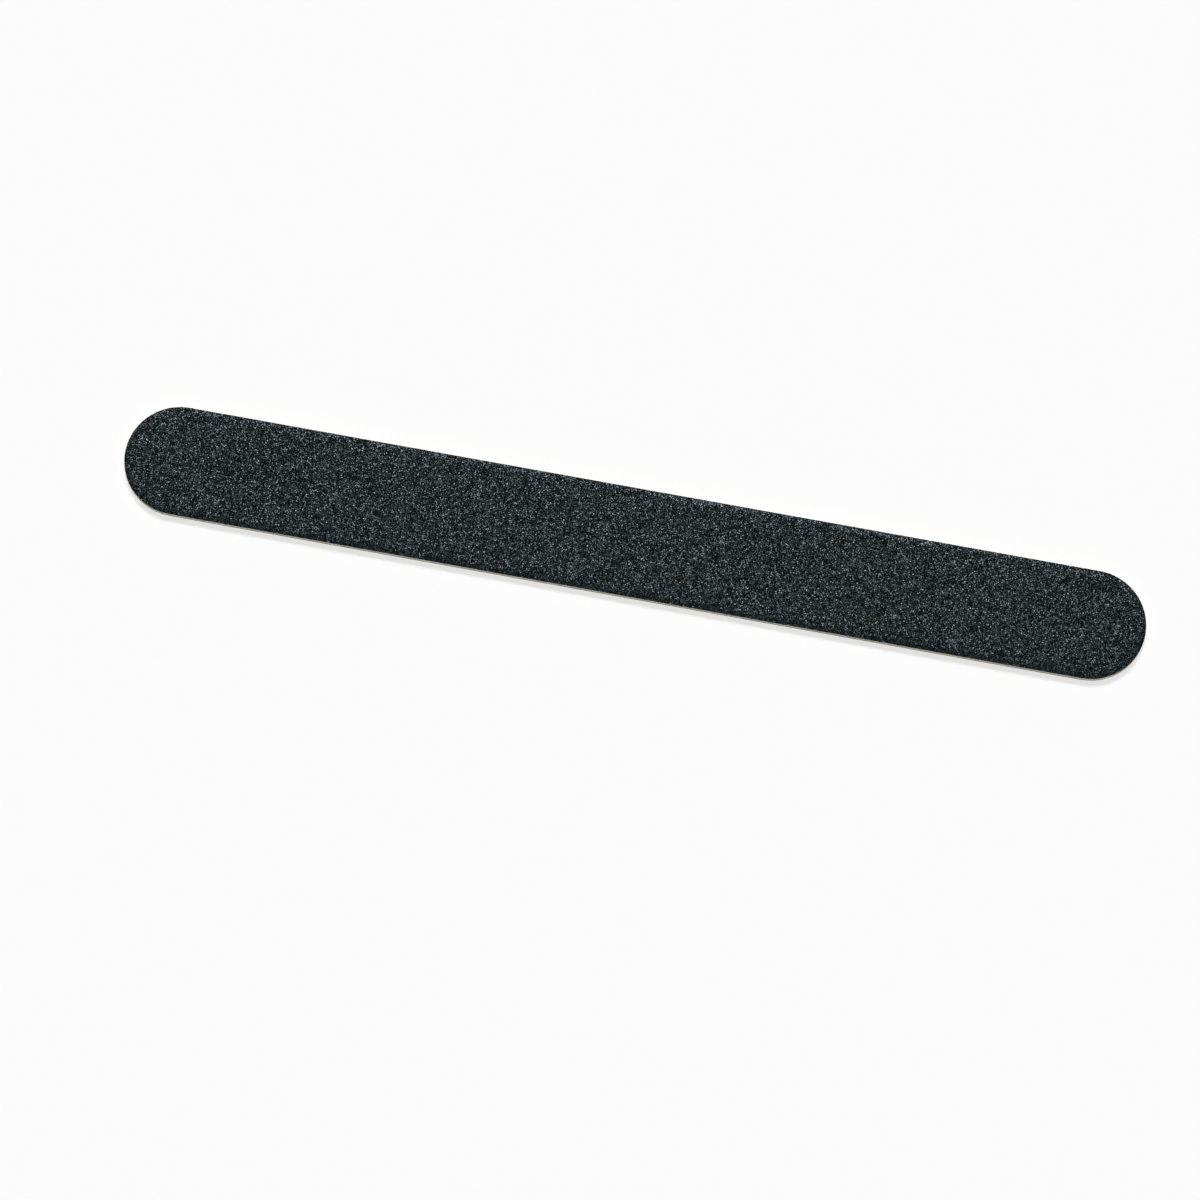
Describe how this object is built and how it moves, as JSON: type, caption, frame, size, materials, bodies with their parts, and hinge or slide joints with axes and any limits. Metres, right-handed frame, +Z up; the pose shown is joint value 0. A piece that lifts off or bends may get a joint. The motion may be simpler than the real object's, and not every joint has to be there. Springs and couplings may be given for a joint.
{
  "type": "emery board",
  "caption": "Flat nail file with rounded ends: a pale paperboard core with black abrasive paper glued to both faces, coarse above and fine below.",
  "frame": {"origin": "centre of the fine face, on the surface that the board lies on", "axes": "+X along the board, +Y across it, +Z up through the layers to the coarse face"},
  "size_m": [0.178, 0.019, 0.002],
  "materials": {
    "core_paperboard": "matte",
    "abrasive_backing_paper": "matte",
    "laminating_glue": "satin",
    "make_resin": "satin",
    "abrasive_grain": "satin",
    "size_resin": "satin"
  },
  "bodies": {
    "root": {"core_strip": "core_paperboard", "coarse_glue_film": "laminating_glue", "coarse_backing_paper": "abrasive_backing_paper", "coarse_make_coat": "make_resin", "coarse_grain_bed": "abrasive_grain", "coarse_size_coat": "size_resin", "fine_glue_film": "laminating_glue", "fine_backing_paper": "abrasive_backing_paper", "fine_make_coat": "make_resin", "fine_grain_bed": "abrasive_grain", "fine_size_coat": "size_resin"}
  },
  "joints": []
}
